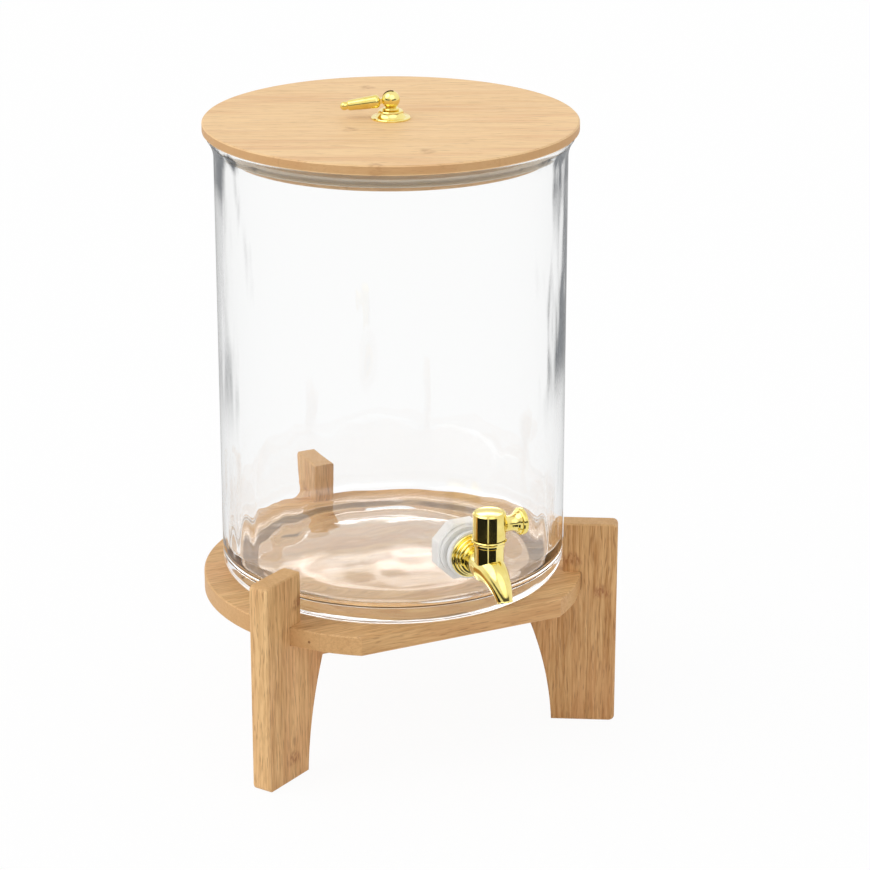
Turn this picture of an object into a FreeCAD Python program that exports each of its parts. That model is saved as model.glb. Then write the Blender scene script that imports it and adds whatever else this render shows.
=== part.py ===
import FreeCAD, Part
import math
import os
import re
import Sketcher

# Glass drink dispenser with a tap, on a three-legged bamboo stand, with a bamboo lid.
# Every size is in millimetres or degrees and lives in the sheet named Sizes. The jar's axis
# is vertical, the tap points to -Y, and the three legs stand on the plane Z = 0.

V = FreeCAD.Vector

SIZES = [
    # jar
    ("jar_radius", 105, "outside of the glass wall"),
    ("jar_wall", 4, "thickness of the glass wall"),
    ("jar_height", 277, "foot to rim"),
    ("floor_thick", 10.5, "glass under the drink, at the foot ring"),
    ("floor_inset", 38, "wall to the edge of the dome in the floor"),
    ("floor_rise", 6.5, "rise of that dome"),
    ("inner_round", 10, "inside corner between wall and floor"),
    ("heel_round", 12, "outside corner between wall and foot"),
    ("punt_inset", 25, "wall to the edge of the hollow under the jar"),
    ("punt_rise", 8, "rise of the hollow under the jar"),
    ("flare_out", 4, "how far the lip stands out from the wall"),
    ("flare_height", 12.5, "height over which the wall flares to the lip"),
    ("lip_height", 3.2, "straight band at the rim"),
    ("lip_bevel", 1.2, "eased edges of the rim"),
    # stand
    ("platform_rise", 100, "floor to the top of the platform"),
    ("platform_margin", 12, "round edge of the platform outside the jar's wall"),
    ("platform_thick", 12, "board of the platform"),
    ("chord_inset", 20.5, "straight front edge under the tap, in from the round edge"),
    ("board_bevel", 0.8, "eased edges of the boards"),
    ("leg_thick", 13, "board of the legs"),
    ("leg_outside", 22, "outside of a leg, out from the platform's round edge"),
    ("leg_above", 31.5, "how far a leg stands above the platform"),
    ("jar_gap", 0.5, "room between the jar and the legs"),
    ("shoulder_inset", 41.5, "inner end of a leg under the platform, in from its edge"),
    ("foot_length", 39.5, "foot on the floor, from the outside of the leg inwards"),
    ("arch_radius", 210, "curve of a leg's inner edge"),
    ("corner_round", 3.5, "outer corners of a leg"),
    ("slot_end_gap", 0.1, "open joint between platform edge and leg"),
    ("glue_gap", 0.05, "room for glue, thread or a push fit"),
    ("dowel_radius", 3, "dowels between legs and platform"),
    ("dowel_in_leg", 12, "length of a dowel inside the leg"),
    ("dowel_in_platform", 8, "length of a dowel inside the platform"),
    ("dowel_end_gap", 0.2, "glue room at each end of a dowel"),
    ("dowel_far", 30, "platform's round edge to the inner dowels"),
    ("dowel_near", 10, "platform's round edge to the outer dowels"),
    # lid
    ("lid_overhang", 2.5, "lid board outside the lip"),
    ("lid_thick", 6, "lid board"),
    ("lid_turn", -26, "turn of the lid about the jar axis"),
    ("plug_gap", 4, "room between the inner disc and the glass"),
    ("plug_thick", 12, "inner disc that drops into the jar"),
    ("seal_drop", 3, "lid board down to the seal's groove"),
    ("seal_height", 6.5, "groove of the seal"),
    ("seal_seat", 2, "depth of the seal's groove"),
    ("seal_back", 0.8, "seal body outside the groove"),
    ("seal_gap", 0.3, "seal fins to the glass"),
    ("fin_root", 2, "height of a fin where it leaves the seal"),
    ("fin_edge", 0.6, "thickness of a fin at its edge"),
    ("fin_lift", 1, "rise of a fin's lower face to its edge"),
    # pull on the lid
    ("rosette_radius", 11.7, "base disc of the pull"),
    ("rosette_rim", 1.2, "thickness of the base disc's rim"),
    ("rosette_step", 9.6, "foot of the raised middle"),
    ("rosette_top", 7.4, "top of the raised middle"),
    ("rosette_height", 5, "height of the raised middle"),
    ("rosette_cove", 4, "height of the hollow curve"),
    ("trim_bevel", 0.5, "eased edges of the gold-coloured pieces"),
    ("spigot_radius", 3, "post inside the base disc"),
    ("spigot_lift", 0.2, "post above the lid board"),
    ("collar_radius", 5, "ring under the ball"),
    ("collar_height", 1.4, "height of that ring"),
    ("neck_radius", 3.3, "neck under the ball"),
    ("ball_radius", 5.4, "ball that carries the drop"),
    ("ball_rise", 11.3, "lid board up to the ball's middle"),
    ("pin_radius", 1, "hinge pin"),
    ("pin_inset", 0.2, "pin end below the ball's surface"),
    ("pin_clearance", 0.06, "running room round the pin"),
    ("tongue_thick", 3, "tongue of the drop, across the pin"),
    ("tongue_half", 1.5, "half the height of the tongue"),
    ("eye_radius", 2.9, "round end of the tongue"),
    ("slot_gap", 0.15, "room for the tongue in the ball"),
    ("drop_droop", 8, "slope of the drop when it lies down"),
    ("drop_root", 5.7, "pin to the start of the grip"),
    ("drop_shoulder", 8.6, "pin to the thick end of the grip"),
    ("drop_thick", 4, "radius of the thick end"),
    ("drop_waist", 24.6, "pin to the thin end of the grip"),
    ("drop_thin", 3.1, "radius of the thin end"),
    ("drop_groove", 26.4, "pin to the groove before the tip"),
    ("groove_radius", 2.3, "radius of that groove"),
    ("groove_width", 0.6, "width of that groove"),
    ("drop_length", 30.2, "pin to the tip"),
    ("pull_thread", 2, "thread hole in the post"),
    ("pull_thread_deep", 6.6, "depth of that hole"),
    ("pull_screw_reach", 6, "screw inside the post"),
    ("screw_hole", 2.2, "screw hole through lid and inner disc"),
    ("washer_radius", 6, "washer under the screw head"),
    ("washer_thick", 1, "thickness of that washer"),
    ("pull_head_radius", 3.8, "screw head under the lid"),
    ("pull_head_height", 2.4, "height of that head"),
    # tap
    ("tap_rise", 44.5, "jar foot to the tap's axis"),
    ("hole_gap", 0.8, "room round the shank in the glass"),
    ("shank_radius", 7.5, "threaded shank through the glass"),
    ("shank_inside", 16, "threaded shank inside the jar"),
    ("flange_gap", 2.3, "glass to the back of the flange, filled by the outer washer"),
    ("bead_width", 1.8, "each ring of the flange, along the tap"),
    ("flange_radius", 12.9, "first ring of the flange"),
    ("flange_second", 11.2, "second ring"),
    ("flange_third", 9.9, "third ring"),
    ("inlet_radius", 8.2, "tube behind the flange"),
    ("spout_root_radius", 9.8, "the same tube at the start of the spout's bend"),
    ("cove_length", 2.6, "hollow curve behind the rings"),
    ("inlet_length", 21.7, "back of the flange to the start of the spout's bend"),
    ("bend_radius", 23, "centre line of the spout"),
    ("bend_angle", 68, "how far the spout turns down"),
    ("outlet_radius", 4.7, "lip of the spout's mouth"),
    ("spout_end_radius", 4.4, "spout behind that lip"),
    ("mouth_lip", 1.1, "width of the lip"),
    ("water_radius", 3, "waterway"),
    ("mouth_radius", 3.5, "waterway at the mouth"),
    ("valve_forward", 22.7, "back of the flange to the valve's axis"),
    ("barrel_radius", 8.7, "barrel above the inlet tube"),
    ("barrel_top", 14.2, "tap axis to the ring's underside"),
    ("barrel_ring_radius", 9.4, "ring round the top of the barrel"),
    ("barrel_ring_height", 1.3, "height of that ring"),
    ("valve_collar_radius", 10.2, "collar under the handle"),
    ("valve_collar_top", 18.3, "tap axis to the collar's top"),
    ("valve_neck_radius", 5.8, "neck inside the handle"),
    ("valve_neck_top", 24.5, "tap axis to the neck's top"),
    ("plug_radius", 4.5, "turning plug"),
    ("plug_clearance", 0.05, "running room round the plug"),
    ("plug_foot", 4.5, "tap axis down to the plug's foot"),
    ("plug_shoulder", 22, "tap axis up to the plug's shoulder"),
    ("foot_gap", 0.1, "room under the plug"),
    ("ring_wide", 1.4, "width of a square-cut seal ring, from its bore to its edge"),
    ("ring_tall", 1.4, "height of a seal ring"),
    ("ring_low", 5.3, "tap axis to the lower ring's foot"),
    ("ring_high", 12.3, "tap axis to the upper ring's foot"),
    ("clip_radius", 5, "outside of the snap ring"),
    ("clip_inner", 3.8, "inside of the snap ring"),
    ("clip_thick", 0.8, "thickness of the snap ring"),
    ("clip_opening", 2.4, "gap in the snap ring"),
    ("stem_side", 5, "square stem of the plug"),
    ("stem_height", 7.1, "height of that stem"),
    ("stem_thread", 1.3, "thread hole in the stem"),
    ("stem_thread_deep", 6.8, "depth of that hole"),
    ("handle_gap", 0.2, "handle above the collar"),
    ("handle_room", 0.35, "handle round the neck"),
    ("handle_radius", 9.7, "cap of the handle"),
    ("handle_top", 34.8, "tap axis to the top of the cap"),
    ("handle_bevel", 0.9, "eased top edge of the cap"),
    ("handle_web", 1, "floor under the handle screw"),
    ("handle_screw_seat", 30.3, "tap axis to the screw head's seat"),
    ("handle_screw_room", 3.1, "counterbore for the screw head"),
    ("handle_screw_radius", 1.25, "handle screw"),
    ("handle_screw_length", 6.5, "length of the handle screw"),
    ("handle_head_radius", 2.7, "its head"),
    ("handle_head_height", 1.8, "height of its head"),
    ("button_radius", 8.2, "cover on the cap"),
    ("button_thick", 1.6, "thickness of the cover at its edge"),
    ("button_dome", 0.7, "rise of the cover's middle"),
    ("lever_rise", 25.6, "tap axis to the lever's axis"),
    ("lever_root", 6.9, "radius where the lever leaves the cap"),
    ("lever_inside", 4, "valve axis to the lever's hidden end"),
    ("lever_leave", 7, "valve axis to the end of that root"),
    ("lever_neck", 13.6, "valve axis to the thin neck"),
    ("lever_neck_radius", 4.6, "radius of the neck"),
    ("lever_flare", 17.2, "valve axis to the back of the knob"),
    ("lever_flare_radius", 6.2, "radius there"),
    ("knob_radius", 8.1, "knob at the lever's end"),
    ("knob_start", 18.4, "valve axis to the knob's rim"),
    ("knob_rim", 3.6, "width of the knob's rim"),
    ("knob_round", 1.1, "rounding of the knob's rim"),
    ("knob_dome", 1.5, "rise of the knob's face"),
    ("seat_gap", 0.03, "rubber washers to the glass"),
    ("outer_washer_radius", 14.6, "washer outside the glass"),
    ("inner_washer_radius", 16, "washer inside the glass"),
    ("inner_washer_thick", 4, "thickness of the inner washer"),
    ("nut_flats", 34.5, "nut across its flats"),
    ("nut_sides", 8, "flats of the nut"),
    ("nut_thick", 8, "thickness of the nut"),
]


def dome(radius, rise):
    """Radius of the curve that rises by so much over a disc, or over a height."""
    return "(((" + radius + ")^2 + (" + rise + ")^2) / (2 * (" + rise + ")))"


# Sizes that follow from the ones above
INNER_RADIUS = "(jar_radius - jar_wall)"
LIP_RADIUS = "(jar_radius + flare_out)"
PUNT_RADIUS = "(jar_radius - punt_inset)"
FLOOR_RADIUS = "(jar_radius - floor_inset)"
FLARE_START = "(jar_height - lip_height - flare_height)"
FLARE_RADIUS = dome("flare_height", "flare_out")
PLATFORM_RADIUS = "(jar_radius + platform_margin)"
CHORD_REACH = "(" + PLATFORM_RADIUS + " - chord_inset)"
DOWEL_REACHES = (PLATFORM_RADIUS + " - dowel_far", PLATFORM_RADIUS + " - dowel_near")
LEG_REACH = "(" + PLATFORM_RADIUS + " + leg_outside)"
SHOULDER_REACH = "(" + PLATFORM_RADIUS + " - shoulder_inset)"
FOOT_REACH = "(" + LEG_REACH + " - foot_length)"
LEG_TOP = "(platform_rise + leg_above)"
SLOT_FLOOR = "(platform_rise - platform_thick)"
LID_SEAT = "(platform_rise + jar_height)"
LID_RADIUS = "(" + LIP_RADIUS + " + lid_overhang)"
LID_PLUG_RADIUS = "(jar_radius - jar_wall - plug_gap)"
SHANK_START = "(" + INNER_RADIUS + " - shank_inside)"
FLANGE_START = "(jar_radius + flange_gap)"
BEND_START = "(" + FLANGE_START + " + inlet_length)"
VALVE_REACH = "(" + FLANGE_START + " + valve_forward)"
BEND_DROP = "(bend_radius * (1 - cos(bend_angle)))"
SPOUT_REACH = "(" + BEND_START + " + bend_radius * sin(bend_angle))"
FRONT_REACH = "(" + BEND_START + " + (bend_radius + outlet_radius) * sin(bend_angle))"
AXIS_BACK = "((" + FRONT_REACH + " - " + LEG_REACH + ") / 2)"
NUT_BACK = "(" + INNER_RADIUS + " - inner_washer_thick)"


def place(x="0", y="0", z="0", axis="0; 0; 1", turn="0"):
    """A move and a turn, as a placement in a formula."""
    return "placement(vector(%s; %s; %s); rotation(vector(%s); %s))" % (x, y, z, axis, turn)


# Frames of the assembly
ON_PLATFORM = place(y=AXIS_BACK, z="platform_rise")
ON_JAR = place(y=AXIS_BACK, z=LID_SEAT, turn="lid_turn")
ON_LID = place(y=AXIS_BACK, z=LID_SEAT + " + lid_thick", turn="lid_turn")
AT_PIN = ON_LID + " * " + place(z="ball_rise")
AT_TAP = place(y=AXIS_BACK, z="platform_rise + tap_rise", turn="-90")
AT_VALVE = AT_TAP + " * " + place(x=VALVE_REACH)

doc = FreeCAD.newDocument("DrinkDispenser")
sheet = doc.addObject("Spreadsheet::Sheet", "Sizes")
for row, (name, size, note) in enumerate(SIZES, start=1):
    sheet.set("A%d" % row, note)
    sheet.set("B%d" % row, str(size))
    sheet.setAlias("B%d" % row, name)
doc.recompute()
ALIASES = {name for name, size, note in SIZES}
pieces = []


def bound(formula):
    """A formula of size names as an expression on the sheet's cells."""
    return re.sub(r"[a-z_]+", lambda word: "Sizes." + word[0] if word[0] in ALIASES else word[0], formula)


def value(formula):
    """What a formula of size names comes to now."""
    return float(sheet.evalExpression(bound(formula)))


def new_body(label, frame):
    """An empty body that stands in one of the assembly's frames."""
    body = doc.addObject("PartDesign::Body", label)
    body.Label = label
    body.AllowCompound = True
    body.setExpression("Placement", bound(frame))
    pieces.append(body)
    return body


def new_sketch(body, role, name, x="0", y="0", out="0"):
    """A sketch on one of the body's own origin planes, moved along it and out of it."""
    sketch = body.newObject("Sketcher::SketchObject", name)
    plane = next(item for item in body.Origin.OriginFeatures if item.Role == role)
    sketch.AttachmentSupport = [(plane, "")]
    sketch.MapMode = "FlatFace"
    if (x, y, out) != ("0", "0", "0"):
        sketch.setExpression("AttachmentOffset", bound(place(x, y, out)))
    return sketch


def pin_down(sketch, geometry, end, x, y):
    """Hold one point of the sketch at (x, y), both formulas of size names."""
    for kind, formula, axis in (("DistanceX", x, -2), ("DistanceY", y, -1)):
        if formula == "0":
            sketch.addConstraint(Sketcher.Constraint("PointOnObject", geometry, end, axis))
            continue
        row = sketch.addConstraint(Sketcher.Constraint(kind, -1, 1, geometry, end, value(formula)))
        name = "%s_%d" % (kind, row)
        sketch.renameConstraint(row, name)
        sketch.setExpression("Constraints." + name, bound(formula))


def hold_radius(sketch, geometry, formula):
    """Hold the radius of a circle or an arc."""
    row = sketch.addConstraint(Sketcher.Constraint("Radius", geometry, value(formula)))
    sketch.renameConstraint(row, "Radius_%d" % row)
    sketch.setExpression("Constraints.Radius_%d" % row, bound(formula))


def outline(sketch, corners):
    """A closed outline. A corner is (x, y), or (x, y, radius, side) where an arc leads to the
    next corner, turning "left" (counter-clockwise) or "right"."""
    places = [V(value(corner[0]), value(corner[1]), 0) for corner in corners]
    first = sketch.GeometryCount
    ends = []
    for index, corner in enumerate(corners):
        start = places[index]
        stop = places[(index + 1) % len(places)]
        if len(corner) == 2:
            row = sketch.addGeometry(Part.LineSegment(start, stop), False)
        else:
            chord = stop - start
            middle = (start + stop) * 0.5
            left = V(-chord.y, chord.x, 0).normalize()
            radius = value(corner[2])
            rise = radius - math.sqrt(max(radius**2 - (chord.Length / 2)**2, 0))
            bulge = -left if corner[3] == "left" else left
            row = sketch.addGeometry(Part.Arc(start, middle + bulge * rise, stop), False)
        forward = (sketch.getPoint(row, 1) - start).Length < (sketch.getPoint(row, 2) - start).Length
        ends.append((row, 1, 2) if forward else (row, 2, 1))
    for index, corner in enumerate(corners):
        row, start, stop = ends[index]
        after, after_start, after_stop = ends[(index + 1) % len(ends)]
        sketch.addConstraint(Sketcher.Constraint("Coincident", row, stop, after, after_start))
    for index, corner in enumerate(corners):
        row, start, stop = ends[index]
        pin_down(sketch, row, start, corner[0], corner[1])
        if len(corner) == 4:
            hold_radius(sketch, row, corner[2])
    return first


def circle(sketch, x, y, radius):
    """A circle round the point (x, y)."""
    row = sketch.addGeometry(Part.Circle(V(value(x), value(y), 0), V(0, 0, 1), value(radius)), False)
    if x == "0" and y == "0":
        sketch.addConstraint(Sketcher.Constraint("Coincident", row, 3, -1, 1))
    else:
        pin_down(sketch, row, 3, x, y)
    hold_radius(sketch, row, radius)


def rectangle(sketch, left, low, right, high):
    outline(sketch, [(left, low), (right, low), (right, high), (left, high)])


def feature(body, kind, name, sketch, **settings):
    """A feature on a sketch. Settings that are text are formulas of size names."""
    item = body.newObject("PartDesign::" + kind, name)
    item.Profile = sketch
    for setting, amount in settings.items():
        if isinstance(amount, str):
            item.setExpression(setting, bound(amount))
        else:
            setattr(item, setting, amount)
    body.Tip = item
    return item


def turned(body, sketch, name, kind="Revolution", axis="V_Axis"):
    """A full turn of the sketch about one of its own axes."""
    return feature(body, kind, name, sketch, ReferenceAxis=(sketch, [axis]), Angle=360.0)


def eased(body, name, chosen):
    """Bevel the edges of the body that the test picks."""
    doc.recompute()
    last = body.Tip
    names = ["Edge%d" % row for row, edge in enumerate(last.Shape.Edges, start=1) if chosen(edge)]
    item = body.newObject("PartDesign::Chamfer", name)
    item.Base = (last, names)
    item.setExpression("Size", bound("board_bevel"))
    body.Tip = item


def level(edge, height):
    """Whether an edge lies at one height of its body."""
    box = edge.BoundBox
    return abs(box.ZMin - height) < 1e-4 and abs(box.ZMax - height) < 1e-4


# --- stand ---

def stand_platform():
    body = new_body("stand_platform", ON_PLATFORM)
    board = new_sketch(body, "XY_Plane", "Board", out="-platform_thick")
    circle(board, "0", "0", PLATFORM_RADIUS)
    feature(body, "Pad", "BoardPad", board, Length="platform_thick")
    front = new_sketch(body, "XY_Plane", "StraightFront")
    rectangle(front, "-" + PLATFORM_RADIUS, "-" + PLATFORM_RADIUS + " - jar_gap",
              PLATFORM_RADIUS, "-" + CHORD_REACH)
    feature(body, "Pocket", "StraightFrontCut", front, Length="platform_thick")
    eased(body, "EasedEdges",
          lambda edge: level(edge, 0) or level(edge, -value("platform_thick")))
    holes = new_sketch(body, "XY_Plane", "DowelHoles", out="-platform_thick")
    for reach in DOWEL_REACHES:
        circle(holes, "0", reach, "dowel_radius + glue_gap")
    drilled = feature(body, "Pocket", "DowelHolesCut", holes,
                      Length="dowel_in_platform + dowel_end_gap", Reversed=True)
    around(body, "DowelHolesRound", drilled, holes)


def around(body, name, original, sketch):
    """Repeat a feature for the three legs, a third of a turn apart."""
    pattern = body.newObject("PartDesign::PolarPattern", name)
    pattern.Originals = [original]
    pattern.Axis = (sketch, ["N_Axis"])
    pattern.Angle = 360
    pattern.Occurrences = 3
    body.Tip = pattern


def leg(label, turn):
    """One leg: a slot takes the platform's edge, a tab stands above it and holds the jar."""
    body = new_body(label, place(y=AXIS_BACK, turn=turn))
    side = new_sketch(body, "XZ_Plane", "Side")
    outline(side, [
        (FOOT_REACH, "0"),
        (LEG_REACH + " - corner_round", "0", "corner_round", "left"),
        (LEG_REACH, "corner_round"),
        (LEG_REACH, LEG_TOP + " - corner_round", "corner_round", "left"),
        (LEG_REACH + " - corner_round", LEG_TOP),
        ("jar_radius + jar_gap", LEG_TOP),
        ("jar_radius + jar_gap", "platform_rise + glue_gap"),
        (PLATFORM_RADIUS + " + slot_end_gap", "platform_rise + glue_gap"),
        (PLATFORM_RADIUS + " + slot_end_gap", SLOT_FLOOR),
        (SHOULDER_REACH, SLOT_FLOOR, "arch_radius", "right"),
    ])
    feature(body, "Pad", "SidePad", side, Length="leg_thick", Midplane=True)
    holes = new_sketch(body, "XY_Plane", "DowelHoles", out=SLOT_FLOOR)
    for reach in DOWEL_REACHES:
        circle(holes, reach, "0", "dowel_radius + glue_gap")
    feature(body, "Pocket", "DowelHolesCut", holes, Length="dowel_in_leg + dowel_end_gap")
    face = value("leg_thick / 2")
    slot_low = value(SLOT_FLOOR) - 1e-3
    slot_high = value("platform_rise + glue_gap") + 1e-3

    def on_outline(edge):
        box = edge.BoundBox
        flat = abs(abs(box.YMin) - face) < 1e-4 and abs(box.YMax - box.YMin) < 1e-4
        return flat and not (box.ZMin > slot_low and box.ZMax < slot_high)

    eased(body, "EasedEdges", on_outline)


def leg_dowels():
    body = new_body("leg_dowels", ON_PLATFORM)
    ends = new_sketch(body, "XY_Plane", "DowelEnds", out="-platform_thick - dowel_in_leg")
    for reach in DOWEL_REACHES:
        circle(ends, "0", reach, "dowel_radius")
    pair = feature(body, "Pad", "DowelPair", ends, Length="dowel_in_leg + dowel_in_platform")
    around(body, "DowelsRound", pair, ends)


# --- jar ---

def glass_jar():
    body = new_body("glass_jar", ON_PLATFORM)
    wall = new_sketch(body, "XZ_Plane", "Wall")
    lip_inner = INNER_RADIUS + " + flare_out"
    outline(wall, [
        ("0", "punt_rise", dome(PUNT_RADIUS, "punt_rise"), "right"),
        (PUNT_RADIUS, "0"),
        ("jar_radius - heel_round", "0", "heel_round", "left"),
        ("jar_radius", "heel_round"),
        ("jar_radius", FLARE_START, FLARE_RADIUS, "right"),
        (LIP_RADIUS, FLARE_START + " + flare_height"),
        (LIP_RADIUS, "jar_height - lip_bevel"),
        (LIP_RADIUS + " - lip_bevel", "jar_height"),
        (lip_inner + " + lip_bevel", "jar_height"),
        (lip_inner, "jar_height - lip_bevel"),
        (lip_inner, FLARE_START + " + flare_height", FLARE_RADIUS, "left"),
        (INNER_RADIUS, FLARE_START),
        (INNER_RADIUS, "floor_thick + inner_round", "inner_round", "right"),
        (INNER_RADIUS + " - inner_round", "floor_thick"),
        (FLOOR_RADIUS, "floor_thick", dome(FLOOR_RADIUS, "floor_rise"), "left"),
        ("0", "floor_thick + floor_rise"),
    ])
    turned(body, wall, "WallTurned")
    hole = new_sketch(body, "XZ_Plane", "TapHole")
    circle(hole, "0", "tap_rise", "shank_radius + hole_gap")
    feature(body, "Pocket", "TapHoleCut", hole, Length=LIP_RADIUS, Reversed=True)


# --- tap ---

def tap_body():
    body = new_body("tap_body", AT_TAP)
    inlet = new_sketch(body, "XZ_Plane", "ShankAndFlange")
    bead = "bead_width * 0.55"
    cove = FLANGE_START + " + bead_width * 3"
    outline(inlet, [
        (SHANK_START, "0"),
        (SHANK_START, "shank_radius"),
        (FLANGE_START, "shank_radius"),
        (FLANGE_START, "flange_radius", bead, "right"),
        (FLANGE_START + " + bead_width", "flange_radius"),
        (FLANGE_START + " + bead_width", "flange_second", bead, "right"),
        (FLANGE_START + " + bead_width * 2", "flange_second"),
        (FLANGE_START + " + bead_width * 2", "flange_third", bead, "right"),
        (cove, "flange_third"),
        (cove, "inlet_radius + glue_gap * 10", "cove_length * 2", "left"),
        (cove + " + cove_length", "inlet_radius"),
        (BEND_START, "spout_root_radius"),
        (BEND_START, "0"),
    ])
    turned(body, inlet, "InletTurned", axis="H_Axis")
    path = new_sketch(body, "XZ_Plane", "SpoutPath")
    bend(path)
    horn(body, "AdditivePipe", "Spout", path, "spout_root_radius", "spout_end_radius")
    lip = new_sketch(body, "XZ_Plane", "MouthLip")
    lip.setExpression("AttachmentOffset", bound(place(SPOUT_REACH, "-" + BEND_DROP, turn="-bend_angle")))
    outline(lip, [
        ("-mouth_lip", "0"),
        ("-mouth_lip", "spout_end_radius"),
        ("-mouth_lip * 0.6", "outlet_radius"),
        ("0", "outlet_radius"),
        ("0", "0"),
    ])
    turned(body, lip, "MouthLipTurned", axis="H_Axis")
    barrel = new_sketch(body, "XZ_Plane", "Barrel", x=VALVE_REACH)
    outline(barrel, [
        ("0", "0"),
        ("barrel_radius", "0"),
        ("barrel_radius", "barrel_top"),
        ("barrel_ring_radius - trim_bevel", "barrel_top"),
        ("barrel_ring_radius", "barrel_top + trim_bevel"),
        ("barrel_ring_radius", "barrel_top + barrel_ring_height", "barrel_ring_height * 2", "right"),
        ("valve_collar_radius", "valve_collar_top - trim_bevel * 2"),
        ("valve_collar_radius", "valve_collar_top - trim_bevel"),
        ("valve_collar_radius - trim_bevel", "valve_collar_top"),
        ("valve_neck_radius", "valve_collar_top"),
        ("valve_neck_radius", "valve_neck_top"),
        ("0", "valve_neck_top"),
    ])
    turned(body, barrel, "BarrelTurned")
    bore = new_sketch(body, "YZ_Plane", "Waterway", out=SHANK_START)
    circle(bore, "0", "0", "water_radius")
    feature(body, "Pocket", "WaterwayCut", bore, Length=BEND_START + " - " + SHANK_START,
            Reversed=True)
    horn(body, "SubtractivePipe", "SpoutBore", path, "water_radius", "mouth_radius")
    seat = new_sketch(body, "XZ_Plane", "ValveBore", x=VALVE_REACH)
    running = "plug_radius + plug_clearance"
    clip_low = "plug_shoulder + glue_gap"
    clip_high = clip_low + " + clip_thick + glue_gap * 2"
    outline(seat, [
        ("0", "-plug_foot - foot_gap"),
        (running, "-plug_foot - foot_gap"),
        (running, clip_low),
        ("clip_radius + glue_gap", clip_low),
        ("clip_radius + glue_gap", clip_high),
        (running, clip_high),
        (running, "valve_neck_top + foot_gap"),
        ("0", "valve_neck_top + foot_gap"),
    ])
    turned(body, seat, "ValveBoreCut", kind="Groove")


def bend(path):
    """The spout's centre line: level at first, then turning down."""
    start = V(value(BEND_START), 0, 0)
    radius = value("bend_radius")

    def point(angle):
        turn = math.radians(angle)
        return start + V(radius * math.sin(turn), -radius * (1 - math.cos(turn)), 0)

    angle = value("bend_angle")
    row = path.addGeometry(Part.Arc(start, point(angle / 2), point(angle)), False)
    near = 1 if (path.getPoint(row, 1) - start).Length < 1e-6 else 2
    pin_down(path, row, near, BEND_START, "0")
    pin_down(path, row, 3 - near, SPOUT_REACH, "-" + BEND_DROP)
    hold_radius(path, row, "bend_radius")


def horn(body, kind, name, path, start_radius, end_radius):
    """A round tube along the spout that tapers from one radius to the other."""
    start = new_sketch(body, "YZ_Plane", name + "Start", out=BEND_START)
    circle(start, "0", "0", start_radius)
    end = new_sketch(body, "YZ_Plane", name + "End")
    tilt = place(y="-" + BEND_DROP, z=SPOUT_REACH, axis="1; 0; 0", turn="bend_angle")
    end.setExpression("AttachmentOffset", bound(tilt))
    circle(end, "0", "0", end_radius)
    doc.recompute()
    tube = body.newObject("PartDesign::" + kind, name)
    tube.Profile = start
    tube.Spine = (path, ["Edge1"])
    tube.Transformation = "Multisection"
    tube.Sections = [(end, [""])]
    body.Tip = tube


def tap_plug():
    """The turning plug. Its waterway lies across the tap's while the tap is shut."""
    body = new_body("tap_plug", AT_VALVE)
    side = new_sketch(body, "XZ_Plane", "PlugSide")
    floor = "plug_radius - ring_wide - glue_gap"
    outline(side, [
        ("0", "-plug_foot"),
        ("plug_radius", "-plug_foot"),
        ("plug_radius", "ring_low - glue_gap"),
        (floor, "ring_low - glue_gap"),
        (floor, "ring_low + ring_tall + glue_gap"),
        ("plug_radius", "ring_low + ring_tall + glue_gap"),
        ("plug_radius", "ring_high - glue_gap"),
        (floor, "ring_high - glue_gap"),
        (floor, "ring_high + ring_tall + glue_gap"),
        ("plug_radius", "ring_high + ring_tall + glue_gap"),
        ("plug_radius", "plug_shoulder"),
        ("0", "plug_shoulder"),
    ])
    turned(body, side, "PlugTurned")
    stem = new_sketch(body, "XY_Plane", "Stem", out="plug_shoulder")
    rectangle(stem, "-stem_side / 2", "-stem_side / 2", "stem_side / 2", "stem_side / 2")
    feature(body, "Pad", "StemPad", stem, Length="stem_height")
    across = new_sketch(body, "XZ_Plane", "CrossBore")
    circle(across, "0", "0", "water_radius")
    feature(body, "Pocket", "CrossBoreCut", across, Length="plug_radius * 3", Midplane=True)
    thread = new_sketch(body, "XY_Plane", "ThreadHole", out="plug_shoulder + stem_height")
    circle(thread, "0", "0", "stem_thread")
    feature(body, "Pocket", "ThreadHoleCut", thread, Length="stem_thread_deep")


def tap_plug_rings():
    body = new_body("tap_plug_rings", AT_VALVE)
    sections = new_sketch(body, "XZ_Plane", "Sections")
    for foot in ("ring_low", "ring_high"):
        rectangle(sections, "plug_radius - ring_wide", foot, "plug_radius", foot + " + ring_tall")
    turned(body, sections, "SectionsTurned")


def tap_snap_ring():
    body = new_body("tap_snap_ring", AT_VALVE)
    ring = new_sketch(body, "XY_Plane", "Ring", out="plug_shoulder + glue_gap * 2")
    circle(ring, "0", "0", "clip_radius")
    circle(ring, "0", "0", "clip_inner")
    feature(body, "Pad", "RingPad", ring, Length="clip_thick")
    opening = new_sketch(body, "XY_Plane", "Opening", out="plug_shoulder + glue_gap * 2")
    rectangle(opening, "clip_inner / 2", "-clip_opening / 2", "clip_radius * 1.5", "clip_opening / 2")
    feature(body, "Pocket", "OpeningCut", opening, Length="clip_thick", Reversed=True)


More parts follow.
